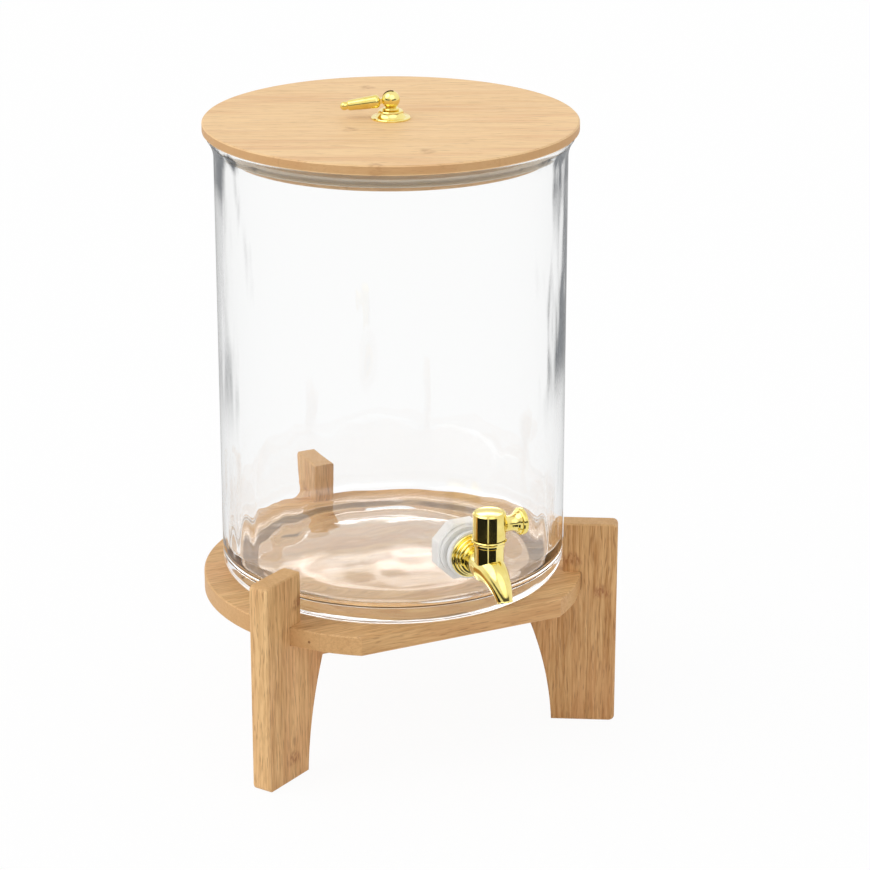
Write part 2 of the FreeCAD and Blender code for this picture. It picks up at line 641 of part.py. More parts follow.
def tap_handle():
    body = new_body("tap_handle", AT_VALVE)
    cap_foot = "valve_collar_top + handle_gap"
    cap = new_sketch(body, "XZ_Plane", "Cap")
    outline(cap, [
        ("0", cap_foot),
        ("handle_radius - trim_bevel", cap_foot),
        ("handle_radius", cap_foot + " + trim_bevel"),
        ("handle_radius", "handle_top - handle_bevel"),
        ("handle_radius - handle_bevel", "handle_top"),
        ("0", "handle_top"),
    ])
    turned(body, cap, "CapTurned")
    lever = new_sketch(body, "YZ_Plane", "Lever", y="lever_rise")
    outline(lever, [
        ("lever_inside", "0"),
        ("lever_inside", "lever_root"),
        ("lever_leave", "lever_root", "lever_neck - lever_leave + 1", "left"),
        ("lever_neck", "lever_neck_radius", "lever_flare - lever_neck + 1", "left"),
        ("lever_flare", "lever_flare_radius"),
        ("knob_start", "knob_radius - knob_round", "knob_round * 1.2", "right"),
        ("knob_start + knob_round", "knob_radius"),
        ("knob_start + knob_rim - knob_round", "knob_radius", "knob_round", "right"),
        ("knob_start + knob_rim", "knob_radius - knob_round",
         dome("knob_radius - knob_round", "knob_dome"), "right"),
        ("knob_start + knob_rim + knob_dome", "0"),
    ])
    turned(body, lever, "LeverTurned", axis="H_Axis")
    inside = new_sketch(body, "XZ_Plane", "Inside")
    room = "valve_neck_radius + handle_room"
    ceiling = "valve_neck_top + handle_room"
    outline(inside, [
        ("0", cap_foot + " - handle_gap"),
        (room, cap_foot + " - handle_gap"),
        (room, ceiling),
        ("handle_screw_radius + handle_room", ceiling),
        ("handle_screw_radius + handle_room", "handle_screw_seat"),
        ("handle_screw_room", "handle_screw_seat"),
        ("handle_screw_room", "handle_top - button_thick"),
        ("button_radius + glue_gap", "handle_top - button_thick"),
        ("button_radius + glue_gap", "handle_top + handle_gap"),
        ("0", "handle_top + handle_gap"),
    ])
    turned(body, inside, "InsideCut", kind="Groove")
    socket = new_sketch(body, "XY_Plane", "Socket", out=ceiling)
    half = "stem_side / 2 + glue_gap"
    rectangle(socket, "-" + half.replace("+", "-"), "-" + half.replace("+", "-"), half, half)
    feature(body, "Pocket", "SocketCut", socket, Reversed=True,
            Length="handle_screw_seat - handle_web - " + ceiling.replace("+", "-"))


def tap_handle_button():
    body = new_body("tap_handle_button", AT_VALVE)
    side = new_sketch(body, "XZ_Plane", "ButtonSide")
    outline(side, [
        ("0", "handle_top - button_thick"),
        ("button_radius", "handle_top - button_thick"),
        ("button_radius", "handle_top", dome("button_radius", "button_dome"), "left"),
        ("0", "handle_top + button_dome"),
    ])
    turned(body, side, "ButtonTurned")


def outer_washer():
    """Rubber washer outside the glass: flat to the flange, hollow to the jar."""
    body = new_body("tap_outer_washer", AT_TAP)
    ring = new_sketch(body, "YZ_Plane", "Ring", out="jar_radius - jar_wall / 2")
    circle(ring, "0", "0", "outer_washer_radius")
    circle(ring, "0", "0", "shank_radius + glue_gap")
    feature(body, "Pad", "RingPad", ring, Length="flange_gap + jar_wall / 2")
    glass = new_sketch(body, "XY_Plane", "GlassCurve")
    circle(glass, "0", "0", "jar_radius + seat_gap")
    feature(body, "Pocket", "GlassCurveCut", glass, Length="outer_washer_radius * 3", Midplane=True)


def inner_washer():
    """Rubber washer inside the glass: flat to the nut, domed to the jar."""
    body = new_body("tap_inner_washer", AT_TAP)
    ring = new_sketch(body, "YZ_Plane", "Ring", out=NUT_BACK)
    circle(ring, "0", "0", "inner_washer_radius")
    circle(ring, "0", "0", "shank_radius + glue_gap")
    feature(body, "Pad", "RingPad", ring, Length="inner_washer_thick + seat_gap")
    glass = new_sketch(body, "XY_Plane", "GlassCurve")
    circle(glass, "0", "0", INNER_RADIUS + " - seat_gap")
    circle(glass, "0", "0", "jar_radius + inner_washer_thick")
    feature(body, "Pocket", "GlassCurveCut", glass, Length="inner_washer_radius * 3", Midplane=True)


def tap_nut():
    body = new_body("tap_nut", AT_TAP)
    flats = new_sketch(body, "YZ_Plane", "Flats", out=NUT_BACK + " - nut_thick")
    sides = round(value("nut_sides"))
    corners = []
    for side in range(sides):
        angle = "(%d * 180 / nut_sides)" % (2 * side + 1)
        reach = "nut_flats / 2 / cos(180 / nut_sides)"
        corners.append((reach + " * cos" + angle, reach + " * sin" + angle))
    outline(flats, corners)
    feature(body, "Pad", "FlatsPad", flats, Length="nut_thick")
    bore = new_sketch(body, "YZ_Plane", "Bore", out=NUT_BACK + " - nut_thick")
    circle(bore, "0", "0", "shank_radius + glue_gap")
    feature(body, "Pocket", "BoreCut", bore, Length="nut_thick", Reversed=True)


def screw(label, frame, head_radius, head_height, shank_radius, length):
    """A pan-head screw with a slot, its shank pointing up from the origin."""
    body = new_body(label, frame)
    side = new_sketch(body, "XZ_Plane", "ScrewSide")
    crown = head_height + " / 2"
    outline(side, [
        ("0", "-" + head_height),
        (head_radius + " - " + crown, "-" + head_height),
        (head_radius, "-" + crown),
        (head_radius, "0"),
        (shank_radius, "0"),
        (shank_radius, length + " - " + shank_radius + " / 2"),
        (shank_radius + " / 2", length),
        ("0", length),
    ])
    turned(body, side, "ScrewTurned")
    slot = new_sketch(body, "XY_Plane", "DriverSlot", out="-" + head_height)
    rectangle(slot, "-" + head_radius + " * 0.7", "-" + head_radius + " * 0.12",
              head_radius + " * 0.7", head_radius + " * 0.12")
    feature(body, "Pocket", "DriverSlotCut", slot, Length=head_height + " * 0.4", Reversed=True)


# --- lid ---

def lid_disc():
    body = new_body("lid_disc", ON_JAR)
    side = new_sketch(body, "XZ_Plane", "BoardSide")
    outline(side, [
        ("screw_hole", "0"),
        (LID_RADIUS + " - board_bevel", "0"),
        (LID_RADIUS, "board_bevel"),
        (LID_RADIUS, "lid_thick - board_bevel"),
        (LID_RADIUS + " - board_bevel", "lid_thick"),
        ("screw_hole", "lid_thick"),
    ])
    turned(body, side, "BoardTurned")


def lid_inner_disc():
    body = new_body("lid_inner_disc", ON_JAR)
    side = new_sketch(body, "XZ_Plane", "DiscSide")
    groove_low = "-seal_drop - seal_height"
    outline(side, [
        ("screw_hole", "-plug_thick"),
        (LID_PLUG_RADIUS + " - board_bevel", "-plug_thick"),
        (LID_PLUG_RADIUS, "-plug_thick + board_bevel"),
        (LID_PLUG_RADIUS, groove_low),
        (LID_PLUG_RADIUS + " - seal_seat", groove_low),
        (LID_PLUG_RADIUS + " - seal_seat", "-seal_drop"),
        (LID_PLUG_RADIUS, "-seal_drop"),
        (LID_PLUG_RADIUS, "0"),
        ("screw_hole", "0"),
    ])
    turned(body, side, "DiscTurned")


def glass_inside(height):
    """Radius of the glass inside, this high above the jar's foot, at the wall or in the flare."""
    rise = "min(max(" + height + " - " + FLARE_START + "; 0); flare_height)"
    return "(" + INNER_RADIUS + " + " + FLARE_RADIUS + " - sqrt(" + FLARE_RADIUS + "^2 - (" + rise + ")^2))"


def lid_seal():
    """Seal in the inner disc's groove, with two fins that reach out to the flaring glass."""
    body = new_body("lid_seal", ON_JAR)
    side = new_sketch(body, "XZ_Plane", "SealSide")
    back = LID_PLUG_RADIUS + " - seal_seat + glue_gap"
    front = LID_PLUG_RADIUS + " + seal_back"
    low = "-seal_drop - seal_height + glue_gap"
    high = "-seal_drop - glue_gap"
    low_fin = low + " + fin_lift"
    high_fin = high + " - fin_root + fin_lift"
    low_edge = glass_inside("jar_height + " + low_fin) + " - seal_gap"
    high_edge = glass_inside("jar_height + " + high_fin) + " - seal_gap"
    outline(side, [
        (back, low),
        (front, low),
        (low_edge, low_fin),
        (low_edge, low_fin + " + fin_edge"),
        (front, low + " + fin_root"),
        (front, high + " - fin_root"),
        (high_edge, high_fin),
        (high_edge, high_fin + " + fin_edge"),
        (front, high),
        (back, high),
    ])
    turned(body, side, "SealTurned")


def pull_washer():
    body = new_body("pull_washer", ON_JAR)
    ring = new_sketch(body, "XY_Plane", "Ring", out="-plug_thick - washer_thick")
    circle(ring, "0", "0", "washer_radius")
    circle(ring, "0", "0", "screw_hole")
    feature(body, "Pad", "RingPad", ring, Length="washer_thick")


def pull_rosette():
    body = new_body("pull_rosette", ON_LID)
    side = new_sketch(body, "XZ_Plane", "RosetteSide")
    hole = "spigot_radius + glue_gap"
    outline(side, [
        (hole, "0"),
        ("rosette_radius", "0"),
        ("rosette_radius", "rosette_rim - trim_bevel"),
        ("rosette_radius - trim_bevel", "rosette_rim"),
        ("rosette_step", "rosette_rim", "(rosette_cove - rosette_rim) * 1.3", "right"),
        ("rosette_top", "rosette_cove"),
        ("rosette_top", "rosette_height - trim_bevel"),
        ("rosette_top - trim_bevel", "rosette_height"),
        (hole, "rosette_height"),
    ])
    turned(body, side, "RosetteTurned")


def pull_post():
    """Post with a ball head, slotted on one side and on top for the drop's tongue."""
    body = new_body("pull_post", ON_LID)
    side = new_sketch(body, "XZ_Plane", "PostSide")
    collar_top = "rosette_height + collar_height"
    outline(side, [
        ("0", "spigot_lift"),
        ("spigot_radius", "spigot_lift"),
        ("spigot_radius", "rosette_height"),
        ("collar_radius - trim_bevel", "rosette_height"),
        ("collar_radius", "rosette_height + trim_bevel"),
        ("collar_radius", collar_top + " - trim_bevel"),
        ("collar_radius - trim_bevel", collar_top),
        ("neck_radius", collar_top),
        ("neck_radius", "ball_rise - sqrt(ball_radius^2 - neck_radius^2)", "ball_radius", "left"),
        ("0", "ball_rise + ball_radius"),
    ])
    turned(body, side, "PostTurned")
    slot_width = "tongue_thick + slot_gap * 2"
    eye = new_sketch(body, "XZ_Plane", "EyeRoom", y="ball_rise")
    circle(eye, "0", "0", "eye_radius + slot_gap")
    feature(body, "Pocket", "EyeRoomCut", eye, Length=slot_width, Midplane=True)
    swing = new_sketch(body, "XZ_Plane", "SwingRoom", y="ball_rise")
    beside = "tongue_half + slot_gap"
    outside = "(ball_radius + jar_gap)"
    outline(swing, [
        ("0", "-tongue_half - slot_gap"),
        (beside, "0"),
        (beside, outside),
        ("-" + outside, outside),
        ("-" + outside, "-tongue_half - slot_gap - " + outside + " * tan(drop_droop)"),
    ])
    feature(body, "Pocket", "SwingRoomCut", swing, Length=slot_width, Midplane=True)
    pin = new_sketch(body, "XZ_Plane", "PinHole", y="ball_rise")
    circle(pin, "0", "0", "pin_radius + pin_clearance / 2")
    feature(body, "Pocket", "PinHoleCut", pin, Length="ball_radius * 3", Midplane=True)
    thread = new_sketch(body, "XY_Plane", "ThreadHole", out="spigot_lift")
    circle(thread, "0", "0", "pull_thread")
    feature(body, "Pocket", "ThreadHoleCut", thread, Length="pull_thread_deep", Reversed=True)


def pull_drop():
    """The grip that hangs on the pin: a tongue, a tapered grip and a tip bead, along -X."""
    body = new_body("pull_drop", AT_PIN + " * " + place(axis="0; 1; 0", turn="-drop_droop"))
    grip = new_sketch(body, "XZ_Plane", "GripSide")
    outline(grip, [
        ("-drop_length", "0", dome("groove_radius", "drop_length - drop_groove"), "right"),
        ("-drop_groove", "groove_radius"),
        ("-drop_groove + groove_width", "groove_radius", "drop_thin * 0.6", "right"),
        ("-drop_waist", "drop_thin"),
        ("-drop_shoulder", "drop_thick", "drop_thick * 0.7", "right"),
        ("-drop_root - groove_width", "tongue_half"),
        ("-drop_root", "tongue_half"),
        ("-drop_root", "0"),
    ])
    turned(body, grip, "GripTurned", axis="H_Axis")
    tongue = new_sketch(body, "XZ_Plane", "Tongue")
    rectangle(tongue, "-drop_root - groove_width * 2", "-tongue_half", "0", "tongue_half")
    feature(body, "Pad", "TonguePad", tongue, Length="tongue_thick", Midplane=True)
    eye = new_sketch(body, "XZ_Plane", "Eye")
    circle(eye, "0", "0", "eye_radius")
    feature(body, "Pad", "EyePad", eye, Length="tongue_thick", Midplane=True)
    hole = new_sketch(body, "XZ_Plane", "PinHole")
    circle(hole, "0", "0", "pin_radius + pin_clearance")
    feature(body, "Pocket", "PinHoleCut", hole, Length="tongue_thick * 2", Midplane=True)


def pull_pin():
    body = new_body("pull_pin", AT_PIN)
    end = new_sketch(body, "XZ_Plane", "PinEnd")
    circle(end, "0", "0", "pin_radius")
    feature(body, "Pad", "PinPad", end, Length="(ball_radius - pin_inset) * 2", Midplane=True)


stand_platform()
leg("leg_back", "90")
leg("leg_front_left", "210")
leg("leg_front_right", "330")
leg_dowels()
glass_jar()
tap_body()
outer_washer()
inner_washer()
tap_nut()
tap_plug()
tap_plug_rings()
tap_snap_ring()
tap_handle()
screw("tap_handle_screw",
      AT_VALVE + " * " + place(z="handle_screw_seat", axis="1; 0; 0", turn="180"),
      "handle_head_radius", "handle_head_height", "handle_screw_radius", "handle_screw_length")
tap_handle_button()
lid_disc()
lid_inner_disc()
lid_seal()
pull_rosette()
pull_post()
pull_drop()
pull_pin()
pull_washer()
screw("pull_screw",
      ON_JAR + " * " + place(z="-plug_thick - washer_thick"),
      "pull_head_radius", "pull_head_height", "(pull_thread - glue_gap)",
      "(plug_thick + washer_thick + lid_thick + pull_screw_reach)")

doc.recompute()
for item in doc.Objects:
    if "Invalid" in item.State or "Error" in item.State:
        raise RuntimeError(item.Name + " failed: " + ", ".join(item.State))
os.makedirs("parts", exist_ok=True)
for body in pieces:
    if body.Shape.isNull() or not body.Shape.isValid() or not body.Shape.Solids:
        raise RuntimeError(body.Label + " has no sound solid")
    body.Shape.exportStep("parts/" + body.Label + ".step")
    print(body.Label, len(body.Shape.Solids), round(body.Shape.Volume, 1))
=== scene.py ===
import math

import bmesh
import bpy
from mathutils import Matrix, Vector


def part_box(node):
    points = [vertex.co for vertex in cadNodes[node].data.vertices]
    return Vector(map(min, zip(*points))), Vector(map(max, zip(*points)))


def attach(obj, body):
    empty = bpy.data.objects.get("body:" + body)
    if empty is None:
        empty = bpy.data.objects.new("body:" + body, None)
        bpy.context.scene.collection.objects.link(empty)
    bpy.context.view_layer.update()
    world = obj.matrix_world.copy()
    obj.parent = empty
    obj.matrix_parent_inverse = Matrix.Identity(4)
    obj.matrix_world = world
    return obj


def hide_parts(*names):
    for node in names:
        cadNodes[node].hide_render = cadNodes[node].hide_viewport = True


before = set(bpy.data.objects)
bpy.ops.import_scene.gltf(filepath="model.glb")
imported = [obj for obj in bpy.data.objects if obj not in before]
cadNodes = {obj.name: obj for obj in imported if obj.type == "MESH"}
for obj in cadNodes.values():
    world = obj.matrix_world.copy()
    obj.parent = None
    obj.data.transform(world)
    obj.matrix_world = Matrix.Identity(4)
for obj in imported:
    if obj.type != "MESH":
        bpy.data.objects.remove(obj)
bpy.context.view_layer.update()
mm = 0.001


# small helpers

def addNode(tree, kind, inputs=None, **settings):
    # one shader node: settings first, then its inputs, each a value or another node's output
    node = tree.nodes.new("ShaderNode" + kind)
    for key, item in settings.items():
        setattr(node, key, item)
    for key, item in (inputs or {}).items():
        if isinstance(item, bpy.types.NodeSocket):
            tree.links.new(item, node.inputs[key])
        else:
            node.inputs[key].default_value = item
    return node


def calc(tree, operation, *terms, clamp=False):
    node = addNode(tree, "Math", dict(enumerate(terms)), operation=operation, use_clamp=clamp)
    return node.outputs[0]


def blendColors(tree, share, first, second):
    node = tree.nodes.new("ShaderNodeMix")
    node.data_type = "RGBA"
    for index, item in ((0, share), (6, first), (7, second)):
        if isinstance(item, bpy.types.NodeSocket):
            tree.links.new(item, node.inputs[index])
        else:
            node.inputs[index].default_value = item
    return node.outputs[2]


def fade(tree, value, low, high, start=0.0, stop=1.0):
    # a smooth step from start to stop while value goes from low to high
    node = addNode(tree, "MapRange", {"Value": value, "From Min": low, "From Max": high,
                                      "To Min": start, "To Max": stop},
                   interpolation_type="SMOOTHSTEP")
    return node.outputs[0]


def newMaterial(name):
    material = bpy.data.materials.new(name)
    material.use_nodes = True
    tree = material.node_tree
    tree.nodes.clear()
    output = tree.nodes.new("ShaderNodeOutputMaterial")
    return material, tree, output


def paint(thing, material):
    thing.data.materials.clear()
    thing.data.materials.append(material)


# bamboo

jarLow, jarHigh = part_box("glass_jar")
axisY = (jarLow[1] + jarHigh[1]) / 2

bambooLook = {
    "lidPale": (0.930, 0.635, 0.330, 1.0),
    "lidTan": (0.760, 0.470, 0.215, 1.0),
    "standPale": (0.860, 0.550, 0.255, 1.0),
    "standTan": (0.475, 0.228, 0.072, 1.0),
    "brown": (0.240, 0.095, 0.030, 1.0),
    "knot": (0.330, 0.115, 0.038, 1.0),
    "blush": (0.700, 0.340, 0.150, 1.0),
    # each pattern: shades in a metre along the grain and across it, or how wide one shade is
    "fibreAlong": 26.0, "fibreEvery": 1.7 * mm,
    "hairAlong": 60.0, "hairEvery": 0.9 * mm,
    "dashAlong": 95.0, "speckAlong": 240.0,
    "cloudAlong": 5.0, "cloudAcross": 90.0,
    "blushAlong": 11.0, "blushAcross": 75.0,
    "wander": 3.0 * mm, "wanderAlong": 30.0, "wanderAcross": 110.0,
    # how much each pattern does
    "fibreShare": 0.46, "hairShare": 0.34, "stripShare": 0.22, "cloudShare": 0.24,
    "blushMost": 0.3, "dashMost": 0.46,
    "seamHalf": 0.35 * mm, "seamMost": 0.3,
    "endCalm": 0.7, "endTone": 0.42,
    "knotLong": 6.0 * mm, "knotWide": 8.5 * mm, "knotSlant": 0.35,
    "pinInner": 0.6 * mm, "pinOuter": 1.1 * mm, "pinShade": 0.85,
    "roughLow": 0.46, "roughHigh": 0.62, "grainDepth": 0.12 * mm,
}


def bamboo(name, along, across, through, seed, tone="stand", stripWidth=19 * mm, contrast=1.0, deeper=0.0,
           knots=(), knotShade=0.75, rimPaintedShade=0.0, pinAt=None):
    # laminated bamboo: wide strips side by side, fibres along them, knots where the stalk had its rings
    look = bambooLook
    pale, tan, brown = look[tone + "Pale"], look[tone + "Tan"], look["brown"]
    material, tree, output = newMaterial(name)
    place = addNode(tree, "TexCoord").outputs["Object"]
    axes = []
    for direction in (along, across, through):
        dot = addNode(tree, "VectorMath", {0: place, 1: direction}, operation="DOT_PRODUCT")
        axes.append(dot.outputs["Value"])
    length, width, depth = axes
    # each board's strips start at a place of their own, and each strip has its own tone
    stripPlace = calc(tree, "DIVIDE", calc(tree, "ADD", width, seed * stripWidth * 0.37), stripWidth)
    strip = calc(tree, "FLOOR", stripPlace)
    edge = calc(tree, "ABSOLUTE", calc(tree, "SUBTRACT", calc(tree, "FRACT", stripPlace), 0.5))
    pick = addNode(tree, "TexWhiteNoise", {"W": calc(tree, "ADD", strip, seed)}, noise_dimensions="1D")
    stripTone = pick.outputs["Value"]
    shift = calc(tree, "MULTIPLY", stripTone, 7.3)

    # fibres wander a little
    spot = addNode(tree, "CombineXYZ", {"X": calc(tree, "MULTIPLY", length, look["wanderAlong"]),
                                        "Y": calc(tree, "MULTIPLY", width, look["wanderAcross"]),
                                        "Z": calc(tree, "MULTIPLY", depth, look["wanderAcross"])})
    wander = addNode(tree, "TexNoise", {"Vector": spot.outputs[0], "Scale": 1.0, "Detail": 1.0}).outputs[0]
    aside = calc(tree, "MULTIPLY", calc(tree, "SUBTRACT", wander, 0.5), look["wander"])
    width = calc(tree, "ADD", width, aside)

    def streaks(longScale, crossScale, detail, lift=0.0):
        spot = addNode(tree, "CombineXYZ", {
            "X": calc(tree, "ADD", calc(tree, "MULTIPLY", length, longScale), shift),
            "Y": calc(tree, "MULTIPLY", width, crossScale),
            "Z": calc(tree, "ADD", calc(tree, "MULTIPLY", depth, crossScale), lift)})
        noise = addNode(tree, "TexNoise", {"Vector": spot.outputs[0], "Scale": 1.0,
                                           "Detail": detail, "Roughness": 0.6})
        return noise.outputs[0]

    # the numbers added to the seed keep the patterns apart
    fibre = streaks(look["fibreAlong"], 1 / look["fibreEvery"], 3.0)
    hair = streaks(look["hairAlong"], 1 / look["hairEvery"], 2.0, seed)
    cloud = streaks(look["cloudAlong"], look["cloudAcross"], 2.0, seed + 4.0)
    dash = streaks(look["dashAlong"], 1 / look["hairEvery"], 1.0, seed + 9.0)
    fibreShade = calc(tree, "MULTIPLY", fade(tree, fibre, 0.32, 0.68), look["fibreShare"] * contrast)
    hairShade = calc(tree, "MULTIPLY", fade(tree, hair, 0.3, 0.7), look["hairShare"] * contrast)
    shade = calc(tree, "ADD", fibreShade, hairShade)
    shade = calc(tree, "ADD", shade, calc(tree, "MULTIPLY", stripTone, look["stripShare"]))
    shade = calc(tree, "ADD", shade, deeper)
    cloudShade = calc(tree, "MULTIPLY", fade(tree, cloud, 0.35, 0.65), look["cloudShare"])
    shade = calc(tree, "SUBTRACT", shade, cloudShade, clamp=True)
    color = blendColors(tree, shade, pale, tan)
    blushAt = streaks(look["blushAlong"], look["blushAcross"], 1.0, seed + 6.0)
    color = blendColors(tree, fade(tree, blushAt, 0.45, 0.7, 0.0, look["blushMost"]), color, look["blush"])
    seam = fade(tree, edge, 0.5 - look["seamHalf"] / stripWidth, 0.5, 0.0, look["seamMost"])
    color = blendColors(tree, seam, color, brown)
    color = blendColors(tree, fade(tree, dash, 0.56, 0.72, 0.0, look["dashMost"] * contrast), color, brown)
    if knots:
        # each knot is a speckled patch that slants away on both sides of its middle
        knotted = None
        for knotLength, knotWidth in knots:
            beside = calc(tree, "ABSOLUTE", calc(tree, "SUBTRACT", width, knotWidth))
            above = calc(tree, "ADD", calc(tree, "SUBTRACT", length, knotLength),
                         calc(tree, "MULTIPLY", beside, look["knotSlant"]))
            tall = calc(tree, "DIVIDE", calc(tree, "ABSOLUTE", above), look["knotLong"])
            wide = calc(tree, "DIVIDE", beside, look["knotWide"])
            reach = calc(tree, "SQRT", calc(tree, "ADD", calc(tree, "POWER", tall, 2.0),
                                            calc(tree, "POWER", wide, 2.0)))
            patch = fade(tree, reach, 0.3, 1.0, 1.0, 0.0)
            knotted = patch if knotted is None else calc(tree, "MAXIMUM", knotted, patch)
        speckAt = streaks(look["speckAlong"], 1.1 / look["fibreEvery"], 2.0, seed + 2.0)
        speck = fade(tree, speckAt, 0.42, 0.58, 0.25, 1.0)
        color = blendColors(tree, calc(tree, "MULTIPLY", knotted, calc(tree, "MULTIPLY", speck, knotShade)),
                            color, look["knot"])
    normal = addNode(tree, "TexCoord").outputs["Normal"]
    # where the fibres are cut across, their sanded ends come near to one tone
    endOn = addNode(tree, "VectorMath", {0: normal, 1: along}, operation="DOT_PRODUCT").outputs["Value"]
    endShare = fade(tree, calc(tree, "ABSOLUTE", endOn), 0.3, 0.9, 0.0, look["endCalm"])
    color = blendColors(tree, endShare, color, blendColors(tree, look["endTone"], pale, tan))
    if rimPaintedShade:
        # painted shade: faces that turn sideways, the boards' cut edges, are darkened toward the tan as side
        # faces under a top light are; part of it is the cut edge's own darker layered grain
        facing = addNode(tree, "VectorMath", {0: normal, 1: through}, operation="DOT_PRODUCT").outputs["Value"]
        paintedRimShade = fade(tree, calc(tree, "ABSOLUTE", facing), 0.1, 0.8, rimPaintedShade, 0.0)
        color = blendColors(tree, paintedRimShade, color, look["standTan"])
    if pinAt:
        # a small headless pin, sunk and dark
        away = addNode(tree, "VectorMath", {0: place, 1: pinAt}, operation="DISTANCE").outputs["Value"]
        pin = fade(tree, away, look["pinInner"], look["pinOuter"], look["pinShade"], 0.0)
        color = blendColors(tree, pin, color, brown)
    bump = addNode(tree, "Bump", {"Height": fibre, "Strength": 0.25, "Distance": look["grainDepth"]})
    shader = addNode(tree, "BsdfPrincipled", {
        "Base Color": color,
        "Roughness": fade(tree, fibre, 0.2, 0.8, look["roughLow"], look["roughHigh"]),
        "Specular IOR Level": 0.4,
        "Normal": bump.outputs[0]})
    tree.links.new(shader.outputs[0], output.inputs["Surface"])
    return material


# where each leg stands round the jar, how deep its tone is, and its knots: height and reach from the jar's axis
legWood = {
    "leg_back": {"turn": 90, "deeper": 0.02, "knots": ((58, 118), (110, 125))},
    "leg_front_left": {"turn": 210, "deeper": -0.05, "knots": ((114, 108), (15, 115))},
    "leg_front_right": {"turn": 330, "deeper": 0.30, "knots": ((109, 111), (88, 130))},
}

# which way the lid's grain runs, and its knots: along the grain and across it
lidWood = {"turn": -26, "strip": 20.5, "knots": ((-26, -20), (19, -72), (-10, -104), (-80, -84), (-18, 87))}

# the platform's edge faces get painted shade, from the rim value, as the lid's do
platformWood = {"deeper": 0.02, "contrast": 0.9, "rimPaintedShade": 0.2, "pinAt": (-0.0902, -0.0666, 0.0932)}


def dressBamboo():
    # each board has a seed of its own, the last number before the named ones
    up = (0.0, 0.0, 1.0)
    for index, (node, wood) in enumerate(legWood.items()):
        turn = math.radians(wood["turn"])
        radial = (math.cos(turn), math.sin(turn), 0.0)
        tangent = (-math.sin(turn), math.cos(turn), 0.0)
        knots = [(height * mm, reach * mm + axisY * math.sin(turn)) for height, reach in wood["knots"]]
        paint(cadNodes[node], bamboo("bambooOf_" + node, up, radial, tangent, 3.0 + 5.0 * index,
                                     deeper=wood["deeper"], knots=knots))
    paint(cadNodes["stand_platform"],
          bamboo("bambooOf_platform", (1.0, 0.0, 0.0), (0.0, 1.0, 0.0), up, 21.0, **platformWood))
    paint(cadNodes["leg_dowels"],
          bamboo("bambooOf_dowels", up, (1.0, 0.0, 0.0), (0.0, 1.0, 0.0), 30.0))
    turn = math.radians(lidWood["turn"])
    grain = (math.cos(turn), math.sin(turn), 0.0)
    side = (-math.sin(turn), math.cos(turn), 0.0)
    knots = [(along * mm, across * mm) for along, across in lidWood["knots"]]
    strip = lidWood["strip"] * mm
    # the lid's and the inner disc's edge faces are darkened by painted shade
    paint(cadNodes["lid_disc"], bamboo("bambooOf_lid", grain, side, up, 41.0, tone="lid", stripWidth=strip,
                                       contrast=0.55, knots=knots, knotShade=0.4, rimPaintedShade=0.62))
    paint(cadNodes["lid_inner_disc"], bamboo("bambooOf_innerDisc", grain, side, up, 52.0, tone="lid",
                                             stripWidth=strip, rimPaintedShade=0.3))
    print("bamboo done")


# gold-coloured metal

goldLook = {
    "bright": (0.93, 0.79, 0.30, 1.0),
    "deep": (0.81, 0.645, 0.175, 1.0),
    "smooth": 0.05, "hazy": 0.13, "hazeScale": 90.0,
    "brushScale": 900.0, "brushDepth": 0.02 * mm,
}


def goldMetal():
    look = goldLook
    material, tree, output = newMaterial("goldMetal")
    place = addNode(tree, "TexCoord").outputs["Object"]
    haze = addNode(tree, "TexNoise", {"Vector": place, "Scale": look["hazeScale"], "Detail": 4.0}).outputs[0]
    brush = addNode(tree, "TexNoise", {"Vector": place, "Scale": look["brushScale"], "Detail": 2.0}).outputs[0]
    color = blendColors(tree, fade(tree, haze, 0.35, 0.7), look["bright"], look["deep"])
    bump = addNode(tree, "Bump", {"Height": brush, "Strength": 0.04, "Distance": look["brushDepth"]})
    shader = addNode(tree, "BsdfPrincipled", {
        "Base Color": color,
        "Metallic": 1.0,
        "Roughness": fade(tree, haze, 0.3, 0.75, look["smooth"], look["hazy"]),
        "Normal": bump.outputs[0]})
    tree.links.new(shader.outputs[0], output.inputs["Surface"])
    return material


# steel, rubber, plastic

steelLook = {"color": (0.62, 0.62, 0.63, 1.0), "roughness": 0.28, "speckle": 0.1, "Metallic": 1.0}

washerLook = {"color": (0.98, 0.97, 0.94, 1.0), "roughness": 0.42, "speckle": 0.03,
              "Subsurface Weight": 0.9, "Subsurface Scale": 3 * mm, "IOR": 1.41}

sealLook = {"color": (0.72, 0.62, 0.48, 1.0), "roughness": 0.42, "speckle": 0.06,
            "Subsurface Weight": 0.5, "Subsurface Scale": 3 * mm, "IOR": 1.41}

nutLook = {"color": (0.97, 0.96, 0.93, 1.0), "roughness": 0.42, "speckle": 0.03,
           "Subsurface Weight": 0.8, "Subsurface Scale": 3 * mm, "IOR": 1.49}


def softSolid(name, color, roughness, speckle, **extra):
    # plain moulded or turned stuff with a faint mottle
    material, tree, output = newMaterial(name)
    place = addNode(tree, "TexCoord").outputs["Object"]
    mottle = addNode(tree, "TexNoise", {"Vector": place, "Scale": 260.0, "Detail": 3.0}).outputs[0]
    darker = [part * (1 - speckle) for part in color[:3]] + [1.0]
    bump = addNode(tree, "Bump", {"Height": mottle, "Strength": 0.1, "Distance": 0.03 * mm})
    inputs = {"Base Color": blendColors(tree, mottle, color, darker),
              "Roughness": fade(tree, mottle, 0.3, 0.7, roughness - 0.05, roughness + 0.07),
              "Normal": bump.outputs[0]}
    inputs.update(extra)
    if "Subsurface Weight" in extra:
        # all three colours spread alike, so the edges have no coloured rims
        inputs["Subsurface Radius"] = (1.0, 1.0, 1.0)
    shader = addNode(tree, "BsdfPrincipled", inputs)
    tree.links.new(shader.outputs[0], output.inputs["Surface"])
    return material


